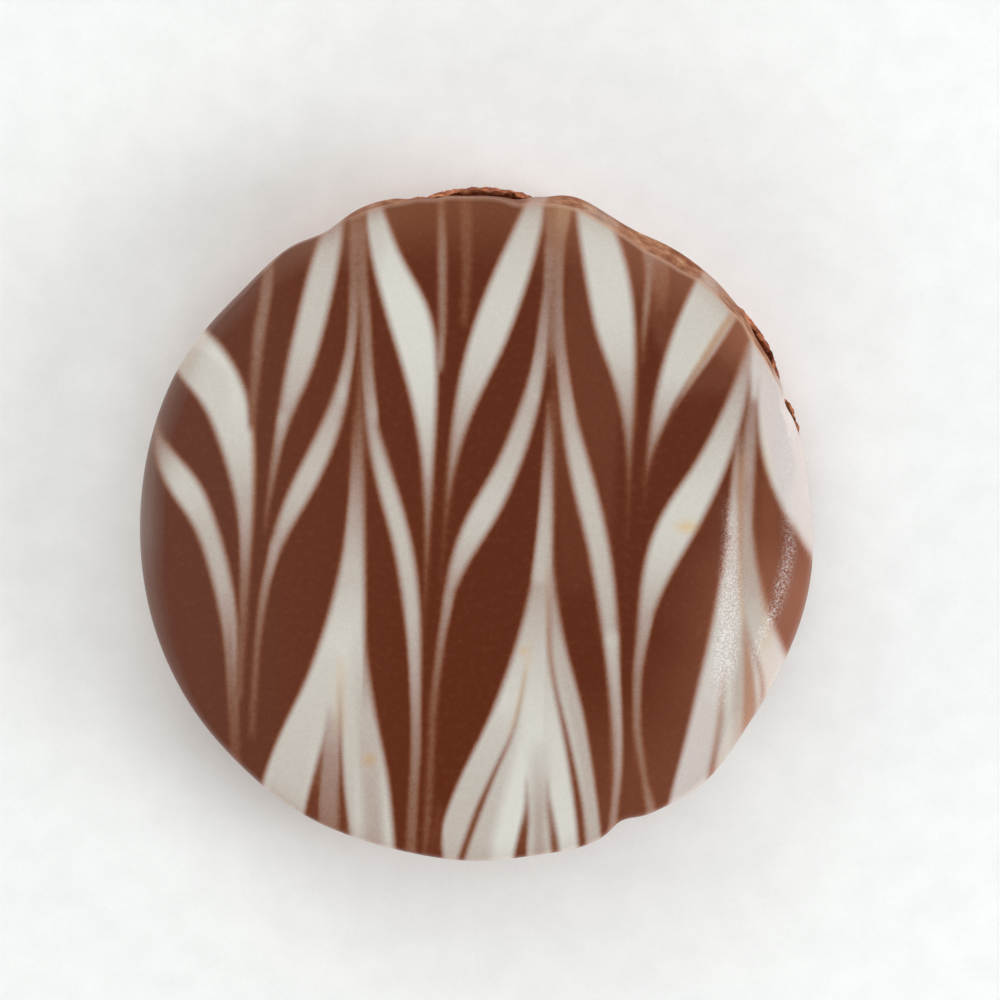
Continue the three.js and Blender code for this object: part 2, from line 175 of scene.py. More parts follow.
# Strands of half mixed chocolate. Each is a line of places from the back to the front, and at
# each place the half width of the strand and its whiteness. Later strands lie over earlier ones.
STRANDS = [
    # beside the tine at x = -17
    [(-16.0, 20.5, 0.45, 0.22), (-16.3, 17.5, 0.45, 0.22), (-16.8, 15.0, 0.45, 0.24),
     (-17.1, 12.0, 0.4, 0.18), (-17.4, 8.0, 0.3, 0.12)],
    [(-15.0, 8.0, 0.3, 0.6), (-15.4, 6.0, 0.3, 0.33), (-16.1, 2.0, 0.2, 0.16),
     (-16.4, 0.0, 0.15, 0.1)],
    [(-18.0, 1.0, 0.3, 0.6), (-18.0, -1.0, 0.3, 0.45), (-18.1, -4.0, 0.25, 0.24),
     (-18.2, -8.0, 0.25, 0.14), (-18.5, -13.0, 0.3, 0.12)],
    [(-19.4, -6.0, 0.4, 0.5), (-19.2, -8.0, 0.35, 0.38), (-19.2, -10.0, 0.3, 0.26),
     (-19.0, -14.0, 0.35, 0.14), (-18.7, -17.0, 0.3, 0.1)],
    [(-15.6, -2.0, 0.3, 0.5), (-16.2, -4.0, 0.3, 0.36), (-16.6, -6.0, 0.3, 0.25),
     (-17.0, -9.0, 0.25, 0.18), (-17.5, -16.0, 0.25, 0.1)],
    # along the tine at x = -9, parting into two
    [(-9.4, 24.0, 0.4, 0.2), (-9.4, 19.0, 0.4, 0.2), (-9.5, 16.0, 0.35, 0.3),
     (-9.7, 13.5, 0.3, 0.4), (-10.1, 11.5, 0.3, 0.55), (-10.5, 10.0, 0.3, 0.7)],
    [(-8.9, 24.0, 0.4, 0.18), (-8.8, 19.0, 0.4, 0.2), (-8.5, 16.0, 0.35, 0.27),
     (-8.4, 13.0, 0.35, 0.3), (-8.2, 10.5, 0.35, 0.4), (-7.9, 8.5, 0.3, 0.55)],
    [(-9.4, 8.0, 0.15, 0.12), (-9.5, 4.0, 0.25, 0.3), (-9.5, 2.0, 0.3, 0.45),
     (-9.6, 0.0, 0.4, 0.55), (-9.6, -2.0, 0.5, 0.66), (-9.7, -3.5, 0.6, 0.75)],
    # along the tine at x = -3
    [(-2.7, 25.0, 0.3, 0.15), (-2.6, 21.0, 0.35, 0.25), (-2.6, 15.0, 0.3, 0.24),
     (-2.8, 12.5, 0.25, 0.35)],
    [(-0.8, 25.0, 0.5, 0.1), (-0.7, 20.0, 0.4, 0.1), (-0.9, 16.0, 0.3, 0.09)],
    [(-5.0, -7.0, 0.35, 0.7), (-4.9, -9.0, 0.3, 0.62), (-4.8, -12.0, 0.3, 0.5),
     (-4.7, -15.0, 0.32, 0.36), (-4.7, -18.0, 0.35, 0.27), (-4.9, -21.0, 0.35, 0.2),
     (-5.1, -25.0, 0.4, 0.16)],
    [(-2.1, -6.0, 0.3, 0.4), (-2.7, -9.0, 0.3, 0.26), (-3.1, -12.0, 0.3, 0.18),
     (-3.4, -15.0, 0.3, 0.13), (-3.6, -20.0, 0.3, 0.11), (-3.9, -25.0, 0.3, 0.11)],
    [(-2.9, -22.5, 0.2, 0.05), (-3.3, -26.0, 0.7, 0.03)],
    # along the tine at x = 6, parting into two
    [(6.0, 24.5, 0.7, 0.2), (6.0, 14.0, 0.4, 0.2), (5.8, 12.5, 0.2, 0.1)],
    [(5.7, 21.0, 0.35, 0.25), (5.5, 18.0, 0.3, 0.25), (5.2, 16.0, 0.3, 0.34),
     (5.0, 14.0, 0.3, 0.42), (4.7, 12.0, 0.3, 0.56), (4.4, 10.0, 0.35, 0.66)],
    [(6.9, 24.5, 0.6, 0.36), (6.5, 22.0, 0.4, 0.22), (6.4, 18.0, 0.3, 0.26),
     (6.5, 14.0, 0.35, 0.32), (6.7, 12.0, 0.4, 0.38), (7.0, 10.0, 0.4, 0.48),
     (7.2, 8.5, 0.4, 0.58)],
    [(5.6, 9.0, 0.15, 0.15), (5.6, 6.0, 0.3, 0.33), (5.5, 4.0, 0.35, 0.48), (5.4, 1.0, 0.45, 0.63),
     (5.2, -2.0, 0.55, 0.69), (5.0, -4.0, 0.6, 0.7)],
    # along the tine at x = 12
    [(14.2, 21.5, 0.8, 0.25), (14.3, 19.0, 0.7, 0.13), (14.3, 17.0, 0.5, 0.08)],
    [(13.3, 22.0, 0.6, 0.34), (13.4, 19.5, 0.3, 0.25), (13.2, 17.0, 0.25, 0.28),
     (13.0, 15.0, 0.2, 0.2), (12.9, 13.0, 0.15, 0.08)],
    [(10.5, -9.0, 0.45, 0.76), (10.7, -11.0, 0.35, 0.64), (10.9, -13.0, 0.3, 0.56),
     (11.1, -16.0, 0.25, 0.54), (11.1, -19.0, 0.25, 0.46), (10.8, -22.0, 0.25, 0.36),
     (10.5, -24.5, 0.3, 0.3)],
    [(13.3, -7.5, 0.35, 0.5), (12.7, -10.0, 0.35, 0.38), (12.5, -12.0, 0.3, 0.3),
     (12.5, -16.0, 0.3, 0.24), (13.1, -20.0, 0.25, 0.2), (13.7, -22.5, 0.4, 0.3)],
    # at the right of the feather at x = 17
    [(20.6, 17.2, 0.35, 0.6), (19.2, 15.4, 0.35, 0.55), (17.8, 13.0, 0.3, 0.45),
     (16.4, 11.0, 0.25, 0.36), (15.4, 9.3, 0.2, 0.14), (14.9, 8.2, 0.1, 0.06)],
    # along the tine at x = 21
    [(21.9, 14.5, 0.5, 0.95), (21.7, 12.0, 0.45, 0.92), (21.5, 10.3, 0.25, 0.8)],
    [(20.3, 6.5, 0.15, 0.3), (20.2, 4.5, 0.3, 0.42), (20.0, 2.5, 0.3, 0.52),
     (19.9, 0.0, 0.4, 0.66)],
    [(21.0, 3.0, 0.2, 0.35), (21.0, 0.0, 0.25, 0.5), (21.1, -3.0, 0.3, 0.56),
     (21.4, -5.0, 0.3, 0.62)],
    [(20.6, 6.5, 0.1, 0.2), (20.5, 3.0, 0.15, 0.33), (20.5, -2.0, 0.2, 0.42),
     (20.7, -6.0, 0.3, 0.65)],
    [(20.8, -6.7, 0.15, 0.65), (20.9, -8.5, 0.25, 0.5), (21.0, -10.0, 0.3, 0.42),
     (21.2, -12.0, 0.45, 0.38), (21.3, -14.5, 0.6, 0.36), (21.2, -17.0, 0.6, 0.36)],
    [(21.1, -8.7, 0.1, 0.5), (21.6, -10.0, 0.12, 0.32), (22.1, -11.3, 0.15, 0.26),
     (22.3, -12.6, 0.2, 0.26), (22.2, -15.0, 0.2, 0.3)],
    [(19.3, -11.0, 0.1, 0.75), (19.1, -13.0, 0.2, 0.5), (19.0, -15.0, 0.25, 0.35),
     (18.6, -17.5, 0.25, 0.25), (18.2, -20.0, 0.35, 0.12)],
    # inside the front feather at x = -10
    [(-11.2, -15.5, 0.35, 0.6), (-11.3, -18.0, 0.5, 0.38), (-11.4, -20.0, 0.65, 0.33),
     (-11.4, -22.0, 0.8, 0.28), (-11.4, -24.5, 0.9, 0.24)],
    [(-11.4, -15.0, 0.15, 0.6), (-11.8, -17.0, 0.2, 0.35), (-12.1, -18.5, 0.3, 0.15),
     (-12.6, -21.0, 0.5, 0.05), (-12.9, -23.5, 0.7, 0.03)],
    [(-10.6, -13.0, 0.15, 0.7), (-10.6, -16.0, 0.2, 0.4), (-10.6, -18.0, 0.2, 0.14),
     (-10.5, -21.0, 0.3, 0.05), (-10.3, -24.0, 0.45, 0.04)],
    # inside the front feather at x = 5
    [(5.6, -3.0, 0.15, 0.6), (5.7, -6.0, 0.25, 0.42), (5.7, -10.0, 0.2, 0.34),
     (6.2, -13.0, 0.2, 0.25), (6.9, -16.0, 0.25, 0.15), (7.5, -19.0, 0.3, 0.08),
     (8.0, -22.0, 0.35, 0.05), (8.3, -25.0, 0.35, 0.05)],
    [(3.8, -12.0, 0.15, 0.65), (3.0, -16.0, 0.15, 0.42), (2.3, -17.5, 0.2, 0.28),
     (1.5, -19.2, 0.2, 0.15), (0.3, -22.0, 0.3, 0.1), (-0.9, -25.3, 0.3, 0.08),
     (-1.4, -27.0, 0.3, 0.08)],
    [(3.9, -20.5, 0.1, 0.5), (4.0, -22.0, 0.2, 0.3), (3.8, -23.5, 0.35, 0.1),
     (3.4, -26.0, 0.55, 0.04)],
    [(5.5, -20.5, 0.1, 0.5), (5.7, -22.2, 0.25, 0.3), (6.1, -24.8, 0.35, 0.12),
     (6.2, -26.5, 0.35, 0.12)],
]
STRAND_STEPS = (-1, -0.5, 0, 0.5, 1)  # a strand's line is averaged over these, to be smooth
STRAND_SOFT = 0.3  # half of the width over which a strand's edge fades
STRAND_FADE = 1.2  # length over which its ends do
RUN_ON = 24.0  # a strand that ends farther out than this runs on down the side

# Places where the white lies thin, and one at the front left rim that is painted shade where the
# rim rounds away: like the strands, but with softer sides and ends, and each number is the most
# whiteness that is left there
THIN_WHITE_AND_SHADE = [
    [(-25.5, 15.0, 1.5, 0.86), (-22.0, 12.0, 3.0, 0.86), (-22.5, 4.0, 3.0, 0.86)],
    [(-10.0, 25.0, 3.5, 0.76), (-10.0, 21.5, 3.0, 0.82), (-10.0, 19.0, 2.5, 0.9)],
    [(8.0, 25.0, 4.0, 0.85), (8.0, 20.0, 3.0, 0.9)],
    [(18.5, 17.5, 2.0, 0.84), (15.5, 11.0, 1.5, 0.88)],
    # painted shade: dims the white along the front left rim where it rounds away
    [(-12.5, -11.0, 1.8, 0.85), (-13.6, -14.0, 1.7, 0.82), (-14.2, -17.0, 1.7, 0.79),
     (-14.6, -20.0, 1.7, 0.77), (-15.0, -24.0, 1.6, 0.72)],
    [(-10.6, -12.0, 1.2, 0.84), (-10.9, -15.0, 1.5, 0.8), (-11.0, -19.0, 1.8, 0.76),
     (-11.2, -24.0, 2.0, 0.7)],
    [(-8.7, -10.0, 1.0, 0.8), (-8.6, -14.0, 1.0, 0.7), (-8.4, -18.0, 0.9, 0.64),
     (-8.2, -20.0, 0.8, 0.6), (-8.0, -24.0, 0.8, 0.55)],
    [(2.0, -16.0, 1.6, 0.8), (0.5, -20.0, 2.0, 0.74), (-1.0, -25.0, 2.2, 0.7)],
    [(4.9, -18.5, 0.8, 0.8), (4.9, -20.5, 0.7, 0.68), (4.9, -22.5, 0.6, 0.55),
     (4.9, -26.0, 0.6, 0.5)],
    [(6.6, -5.0, 0.8, 0.58), (7.3, -11.0, 1.1, 0.64), (8.6, -16.0, 1.2, 0.63),
     (9.2, -20.0, 1.1, 0.63), (9.4, -26.0, 1.1, 0.66)],
    [(18.3, -10.0, 1.6, 0.86), (17.7, -14.0, 1.8, 0.8), (17.0, -21.0, 2.4, 0.76)],
    [(20.5, -8.0, 0.4, 0.76), (20.4, -12.0, 0.4, 0.66), (20.3, -18.0, 0.4, 0.66)],
]
WASH_SOFT = 0.6  # as STRAND_SOFT
WASH_FADE = 2.5  # as STRAND_FADE, and for SHINES, SHEEN_PATCHES and LIGHT_TINTS too

# Tan places: like the strands in all, but each number is how tan the place is
TAN_STRANDS = [
    [(6.6, 25.0, 1.0, 0.8), (6.4, 21.0, 0.6, 0.2)],
    [(-17.3, 9.0, 0.1, 0.5), (-17.2, 4.0, 0.15, 0.6), (-17.2, 0.0, 0.1, 0.2)],
    [(12.6, 15.0, 0.1, 0.6), (12.4, 8.0, 0.1, 0.6)],
    [(20.6, 17.2, 0.35, 0.5), (19.2, 15.4, 0.35, 0.6), (17.8, 13.2, 0.3, 0.6),
     (16.4, 11.0, 0.2, 0.4)],
    [(20.6, 5.0, 0.4, 0.4), (20.5, 1.0, 0.12, 0.8), (20.5, -6.0, 0.1, 0.7),
     (20.9, -8.8, 0.12, 0.5), (21.2, -12.0, 0.4, 0.5), (21.2, -17.0, 0.5, 0.5)],
    [(5.5, -4.0, 0.1, 0.4), (5.6, -9.0, 0.1, 0.5), (6.0, -12.0, 0.1, 0.3)],
    [(4.2, -10.0, 0.2, 0.4), (3.1, -15.0, 0.1, 0.6), (2.4, -17.0, 0.1, 0.2)],
    [(19.2, -12.5, 0.1, 0.5), (18.4, -18.0, 0.15, 0.6)],
    [(21.9, 15.0, 0.5, 0.35), (22.6, 12.0, 0.5, 0.3)],
    [(-10.5, -11.0, 0.3, 0.3), (-10.6, -16.0, 0.5, 0.3)],
]

# Tan spots: x, y, half width, half height and how tan each is
SPOTS = [(16.4, -0.2, 0.9, 0.45, 0.9), (-8.3, -18.4, 0.55, 0.45, 0.8), (3.7, -9.9, 0.4, 0.35, 0.7)]

# Where the coat has painted glints and deeper relief, at its two bends at the right: like the
# strands
SHINES = [
    [(19.8, 0.3, 0.5, 0.3), (19.8, -2.3, 0.6, 0.5), (19.7, -5.0, 0.7, 0.7), (19.6, -8.0, 0.8, 0.9),
     (19.3, -10.7, 0.9, 0.9), (18.9, -12.6, 0.8, 0.4)],
    [(24.2, 0.0, 0.3, 0.3), (24.4, -2.3, 0.35, 0.5), (23.8, -4.2, 0.35, 0.6),
     (23.4, -6.1, 0.35, 0.6), (22.4, -8.1, 0.35, 0.8), (21.8, -9.3, 0.3, 0.6)],
]

# Where painted sheen lightens the brown more than elsewhere: like the strands
SHEEN_PATCHES = [
    [(9.5, 20.0, 2.5, 0.08), (8.5, 8.0, 2.5, 0.08), (8.5, -4.0, 2.0, 0.04)],
    [(14.5, 18.0, 2.0, 0.12), (17.5, 11.5, 2.5, 0.1)],
    [(25.8, 0.5, 0.5, 0.2), (25.9, -3.0, 0.8, 0.3), (25.2, -6.0, 1.0, 0.32),
     (24.2, -9.0, 1.0, 0.28), (23.2, -12.0, 0.6, 0.2)],
]

# Where a painted pinkish tint of warm light lies on the white, towards the right edge: like the
# strands
LIGHT_TINTS = [
    [(22.0, 15.0, 1.0, 0.5), (23.5, 10.0, 1.8, 0.8), (25.0, 3.0, 2.0, 0.8), (26.0, 0.0, 1.0, 0.8)],
    [(24.0, -8.0, 0.8, 0.6), (23.0, -12.0, 1.2, 0.6)],
    [(18.0, -12.0, 1.4, 0.4), (16.8, -20.0, 2.0, 0.7)],
]
PATCH_SOFT = 0.5  # as STRAND_SOFT, for these three lists

# How strong the painted sheen on the brown is at the far left, fading towards the middle
LEFT_SHEEN = 0.09

# Round the outline: how strong the painted sheen on the brown is at the coat's edge, and how far
# inside the rim it starts; how scuffed the shoulder is, its flecks partly painted sheen; how much
# painted shade dims the white past the rim, and over how wide a band that sets in; and how pale
# the painted highlight line along the rim is, and half of its width
RIM_SHEEN = [
    (0, 0.2), (15, 0.15), (28, 0.3), (36, 0.4), (48, 0.3), (60, 0.3), (75, 0.28), (84, 0.16),
    (96, 0.2), (108, 0.25), (120, 0.3), (132, 0.22), (144, 0.25), (156, 0.32), (168, 0.45),
    (180, 0.6), (192, 0.35), (204, 0.2), (216, 0.1), (270, 0.0), (285, 0.04), (300, 0.14),
    (315, 0.17), (330, 0.3), (348, 0.35),
]
RIM_SHEEN_START = [
    (0, 9.0), (20, 3.0), (40, 6.0), (60, 7.0), (108, 6.0), (125, 3.0), (150, 2.0), (165, 1.3),
    (204, 1.3), (270, 2.0), (282, 5.0), (297, 13.0), (315, 11.0), (330, 9.0),
]
SCUFFS_AND_SHEEN = [
    (20, 0), (30, 1), (42, 0.9), (46, 0.45), (50, 0.95), (62, 1), (67, 0.7), (74, 0.9), (80, 0.3),
    (99, 0.3), (104, 0.9), (111, 0.6), (118, 0),
]
WHITE_SHADE = [
    (0, 0.12), (18, 0.1), (32, 0.35), (50, 0.3), (70, 0.3), (98, 0.6), (106, 0.85), (114, 0.7),
    (125, 0.35), (145, 0.2), (168, 0.45), (190, 0.35), (230, 0.2), (250, 0.25), (280, 0.25),
    (300, 0.15), (340, 0.12),
]
WHITE_SHADE_WIDTH = 3.0
RIM_HIGHLIGHT = [(24, 0), (32, 0.6), (76, 0.6), (84, 0.3), (100, 0.3), (108, 0.4), (116, 0)]
RIM_HIGHLIGHT_WIDTH = 0.1

# Colours, as sRGB out of 255. MIXING goes from milk chocolate to white, and TANNED does where
# the two have blended into tan. The painted sheen's colours go from the left side of the cookie
# to its right.
MIXING = [
    (0.0, (89, 38, 17)), (0.07, (107, 57, 36)), (0.16, (127, 87, 67)), (0.4, (160, 135, 125)),
    (0.7, (183, 173, 163)), (1.0, (208, 205, 196)),
]
TANNED = [(0.0, (112, 58, 30)), (0.4, (168, 128, 92)), (1.0, (212, 188, 148))]
# painted sheen colours, cool at the left and warm at the right
SHEEN_COLOURS = [(0.1, (135, 125, 118)), (0.4, (175, 120, 88)), (0.9, (183, 124, 97))]
# painted pinkish tint of warm light on the white
LIGHT_TINT_COLOUR = (202, 190, 188)
# scuffed flank colours, paler in flecks of painted sheen and glints
SCUFF_AND_SHEEN_COLOURS = [
    (0.35, (116, 64, 40)), (0.5, (141, 92, 64)), (0.62, (160, 115, 86)), (0.75, (196, 162, 132)),
]
# painted highlight line along the rim
RIM_HIGHLIGHT_COLOUR = (180, 145, 122)
# painted glints
PAINTED_GLINT_COLOUR = (240, 234, 232)
# crumb brown, with painted shade at the dark end and painted highlight at the pale end
CRUMB_AND_PAINTED_LIGHT_COLOURS = [(0.3, (86, 34, 12)), (0.5, (150, 76, 38)), (0.7, (205, 134, 88))]
PAPER = [(0.3, (238, 238, 236)), (0.7, (243, 243, 241))]

# The surface of the chocolate: the grain that breaks up the feathers' edges and how far, faint
# patches and how strong, the flecks of the scuffs with their painted sheen, the fine grain and how
# dark, the painted glints and how sharp and how rare, and the relief and how deep. Sizes are in
# millimetres.
EDGE_GRAIN, EDGE_BREAK = 0.12, 0.9
PATCH_GRAIN, PATCH_DEPTH = 0.5, 0.1
FLECK_GRAIN = 1.0
FINE_GRAIN, FINE_DEPTH = 0.1, 0.3
GLINT_GRAIN, GLINT_SHARPNESS, GLINT_LOSS = 0.16, 3.0, 1.2
RELIEF_GRAIN, RELIEF_DEPTH = 0.22, 0.012
SMOOTH, SCUFFED = 0.35, 0.65  # roughness
GLOSS = 0.1  # specular level
SHINY_RELIEF = 6.0  # how many times deeper the relief is where the coat glints

# The crumb and the paper that the cookie lies on: the grain of their colour, their finer grain,
# how deep or how dark that is, and their roughness
CRUMB_GRAIN, CRUMB_BUMPS, CRUMB_BUMP_DEPTH, CRUMB_ROUGHNESS = 0.6, 0.2, 0.12, 0.8
PAPER_CLOUDS, FIBRE_GRAIN, FIBRE_DEPTH, PAPER_ROUGHNESS = 3.0, 0.35, 0.06, 0.9
FLOOR_SIDE = 3.0  # in metres

# The room: how bright its walls are, and pairs of a height, from 0 at the walls to 1 overhead,
# and how bright the room is there as a share of its walls
ROOM_STRENGTH = 2.6
ROOM_COLOUR = (1.0, 0.88, 0.84)
ROOM = [(0.6, 0.06), (1.0, 0.02)]

# The lights, each with its side and its height in degrees, its size in metres, its power in watts
# and its colour
LIGHT_DISTANCE = 0.8  # in metres
LIGHTS = [
    ("window", -12, 38, 0.36, 2.4, (0.84, 0.93, 0.98)),
    ("bright_wall", 50, 70, 0.5, 1.75, (0.86, 0.95, 0.98)),
    ("back_wall", 105, 45, 0.5, 1.8, (0.86, 0.98, 1)),
    ("front_wall", 262, 35, 0.5, 1.5, (0.88, 0.98, 1)),
    ("left_wall", 180, 30, 0.5, 0.65, (1, 0.9, 0.84)),
]

# The camera looks almost straight down
CAMERA_TILT = 4.0  # how far it leans from straight above
CAMERA_SIDE = 60.0  # the side that it leans to
CAMERA_DISTANCE = 366.0
CAMERA_NEAR = 0.01  # in metres, nearer than anything that it sees
PIXELS_PER_MM = 12.9
PHOTO_SIDE = 1000  # in pixels
PHOTO_MIDDLE = (1.86, 1.86, HEIGHT)  # the place that the middle of the photo shows
SENSOR = 36.0


def smooth(t):
    """Eases from 0 to 1 as t goes from 0 to 1."""
    t = np.clip(t, 0, 1)
    return t * t * (3 - 2 * t)


def bump(angle, at, spread):
    """1 at the middle of a bump, falling away over its spread."""
    apart = np.abs((angle - at + 180) % 360 - 180)
    return np.exp(-((apart / spread) ** 2))


def along(pairs, angle):
    """The size at any angle, eased from pair to pair right round the outline."""
    at, size = np.array(pairs, float).T
    at = np.concatenate((at[-1:] - 360, at, at[:1] + 360))
    size = np.concatenate((size[-1:], size, size[:1]))
    i = np.searchsorted(at, angle, side="right") - 1
    return size[i] + (size[i + 1] - size[i]) * smooth((angle - at[i]) / (at[i + 1] - at[i]))


def outline(angle):
    """Radius of the outline seen from above, without the crumb's ripples."""
    return RADIUS + sum(out * bump(angle, at, spread) for at, out, spread in BULGES)


def coat_radius(angle):
    """Radius of the widest line of the coat."""
    return outline(angle) - along(COAT_SETBACK, angle)


def rim_radius(angle):
    """Radius of the rim of the flat top."""
    return coat_radius(angle) - along(SHOULDER_WIDTH, angle)


def shoulder_foot(angle):
    """Height of the widest line of the coat."""
    return HEIGHT - along(SHOULDER_DROP, angle)


def top_height(angle, r):
    """Height of the flat top, with its dips."""
    return HEIGHT - sum(depth * smooth((r - start) / (end - start)) * bump(angle, at, spread)
                        for at, spread, start, end, depth in DIPS)


def shoulder(angle, t):
    """Radius and height of a point of the shoulder: 0 at the rim, 1 at the coat's widest line."""
    rim = rim_radius(angle)
    top = top_height(angle, rim)
    roundness = along(ROUNDNESS, angle)
    fall = roundness * (1 - np.sqrt(1 - t * t)) + (1 - roundness) * t
    return rim + along(SHOULDER_WIDTH, angle) * t, top + (shoulder_foot(angle) - top) * fall


def core_radius(angle):
    """Radius of the cookie where the coat covers it."""
    return coat_radius(angle) - HEM_TUCK - HEM_LIP - GAP


def crumb_radius(angle, z):
    """Radius of the crumbly side at a height, without its ripples and its relief."""
    foot = 1 - np.minimum(z / FOOT_RISE, 1)
    return outline(angle) - along(CRUMB_SETBACK, angle) - FOOT_TUCK * foot**2


def ripples(angle, z):
    """How far the crumb's large ripples stand out or in at a place on the side."""
    return sum(high * np.sin(count * np.radians(angle) + rise * z + phase)
               for high, count, rise, phase in CRUMB_RIPPLES)


def through(three, y):
    """The size at height y of a curve through its sizes at TINE_HEIGHT, 0 and -TINE_HEIGHT."""
    top, middle, bottom = three
    t = -y / TINE_HEIGHT
    return middle + (bottom - top) / 2 * t + ((top + bottom) / 2 - middle) * t * t


def crossing(edge, y, width):
    """Where an edge crosses height y, as a share of the gap from the down tine to the up tine,
    and the share of a sideways distance from it that is the shortest distance."""
    middle, down, up = edge
    turn = (y - middle) / KINK
    reach = (up + down) / 2 + (up - down) / 2 * turn / np.sqrt(1 + turn**2)
    share = 1 / (1 + np.exp(np.clip((middle - y) / reach, -30, 30)))
    slope = reach / (np.maximum(share * (1 - share), 1e-6) * width)
    return share, slope / np.sqrt(1 + slope**2)


def feathers_at(x, y):
    """How white the feathers are at each place."""
    white = np.zeros_like(x)
    for gap, feathers in enumerate(FEATHERS):
        left, right = through(TINES[gap][1], y), through(TINES[gap + 1][0], y)
        width = right - left
        across = (x - left if gap % 2 else right - x) / width
        for purity, upper, lower in feathers:
            top, top_slant = crossing(upper, y, width)
            low, low_slant = crossing(lower, y, width) if lower else (1 + OVERLAP / width, 1)
            depth = np.minimum((across - top) * top_slant, (low - across) * low_slant) * width
            thickness = (np.minimum(low, 1) - top) * width * purity
            tone = 1 - np.exp(-np.maximum(thickness, 0) / FULL_WHITE)
            white = np.maximum(white, tone * smooth(0.5 + depth / (2 * EDGE_SOFTNESS)))
    return white


def strand_at(points, x, y, soft=STRAND_SOFT, fade=STRAND_FADE):
    """How far a strand covers each place, and the number that it carries there."""
    xs, ys, halves, amounts = np.array(points).T[:, ::-1]
    line = sum(np.interp(y + step, ys, xs) for step in STRAND_STEPS) / len(STRAND_STEPS)
    half = np.interp(y, ys, halves)
    cover = smooth((half + soft - np.abs(x - line)) / (2 * soft))
    if math.hypot(xs[0], ys[0]) < RUN_ON:
        cover = cover * smooth(1 + (y - ys[0]) / fade)
    if math.hypot(xs[-1], ys[-1]) < RUN_ON:
        cover = cover * smooth(1 - (y - ys[-1]) / fade)
    return cover, np.interp(y, ys, amounts)


def marbling(x, y):
    """How white and how tan each place is: feathers, then thin places and painted shade, then
    strands.
    """
    white = feathers_at(x, y)
    for points in THIN_WHITE_AND_SHADE:
        cover, most = strand_at(points, x, y, WASH_SOFT, WASH_FADE)
        white = white - np.maximum(white - most, 0) * cover
    for points in STRANDS:
        cover, level = strand_at(points, x, y)
        white = white + (level - white) * cover
    tan = np.zeros_like(x)
    for points in TAN_STRANDS:
        cover, amount = strand_at(points, x, y)
        tan = np.maximum(tan, cover * amount)
    for spot_x, spot_y, wide, high, amount in SPOTS:
        away = ((x - spot_x) / wide) ** 2 + ((y - spot_y) / high) ** 2
        tan = np.maximum(tan, amount * np.exp(-away))
    return white, tan


def patches_at(patches, x, y):
    """How strong the strongest of some patches is at each place."""
    most = np.zeros_like(x)
    for points in patches:
        cover, amount = strand_at(points, x, y, PATCH_SOFT, WASH_FADE)
        most = np.maximum(most, cover * amount)
    return most


def rim_light_and_scuffs(angle, r):
    """At each place seen from above: how strong the painted sheen on the brown is, how much
    painted shade dims the white, how scuffed the shoulder is with painted sheen in its flecks, and
    how pale the painted highlight line along the rim is."""
    rim = rim_radius(angle)
    past = r - rim
    start = rim - along(RIM_SHEEN_START, angle)
    # painted sheen on the brown, growing towards the coat's edge
    painted_sheen = along(RIM_SHEEN, angle) * smooth((r - start) / (coat_radius(angle) - start))
    # painted shade that dims the white past the rim
    white_shade = along(WHITE_SHADE, angle) * smooth(0.5 + past / WHITE_SHADE_WIDTH)
    # scuffs: rougher, and flecked with painted sheen
    scuffs_and_sheen = along(SCUFFS_AND_SHEEN, angle) * smooth(past / RIM_HIGHLIGHT_WIDTH)
    # painted highlight line along the rim
    line = along(RIM_HIGHLIGHT, angle) * np.exp(-((past / RIM_HIGHLIGHT_WIDTH) ** 2))
    return painted_sheen, white_shade, scuffs_and_sheen, line


def surface_at(angle, r, jog):
    """The numbers that the coat's material reads at each place: the marbling, the rim's painted
    sheen, shade and highlight and its scuffs, painted sheen and pink tint in patches, and where
    the painted glints and deeper relief lie.
    """
    x, y = r * np.cos(np.radians(angle)), r * np.sin(np.radians(angle))
    white, tan = marbling(x - jog, y)
    painted_sheen, white_shade, scuffs_and_sheen, line = rim_light_and_scuffs(angle, r)
    # painted shade on the white past the rim
    white = white * (1 - white_shade)
    # painted sheen on the brown at the far left
    painted_sheen = np.maximum(painted_sheen, LEFT_SHEEN * smooth(-x / RADIUS))
    # painted sheen patches, on the brown only
    painted_sheen = np.maximum(painted_sheen, patches_at(SHEEN_PATCHES, x, y)) * (1 - white)
    # painted pinkish tint of light on the white
    painted_light_tint = patches_at(LIGHT_TINTS, x, y) * white
    return {"white": white, "tan": tan, "painted_sheen": painted_sheen, "painted_light_tint": painted_light_tint, "scuffs_and_sheen": scuffs_and_sheen,
            "line": line, "shine": patches_at(SHINES, x, y)}


def build_mesh(name, points, faces, **values):
    """A smooth-shaded object from points in millimetres, with a named number for each point."""
    mesh = bpy.data.meshes.new(name)
    mesh.from_pydata((np.asarray(points) * MM).tolist(), [], faces)
    for key, numbers in values.items():
        mesh.attributes.new(key, "FLOAT", "POINT").data.foreach_set("value", numbers)
    mesh.shade_smooth()
    thing = bpy.data.objects.new(name, mesh)
    bpy.context.collection.objects.link(thing)
    return thing


def ring_faces(inner, outer):
    """Faces between two rings of points with as many points each."""
    a, b = np.asarray(inner), np.asarray(outer)
    return np.stack((a, b, np.roll(b, -1), np.roll(a, -1)), axis=1).tolist()


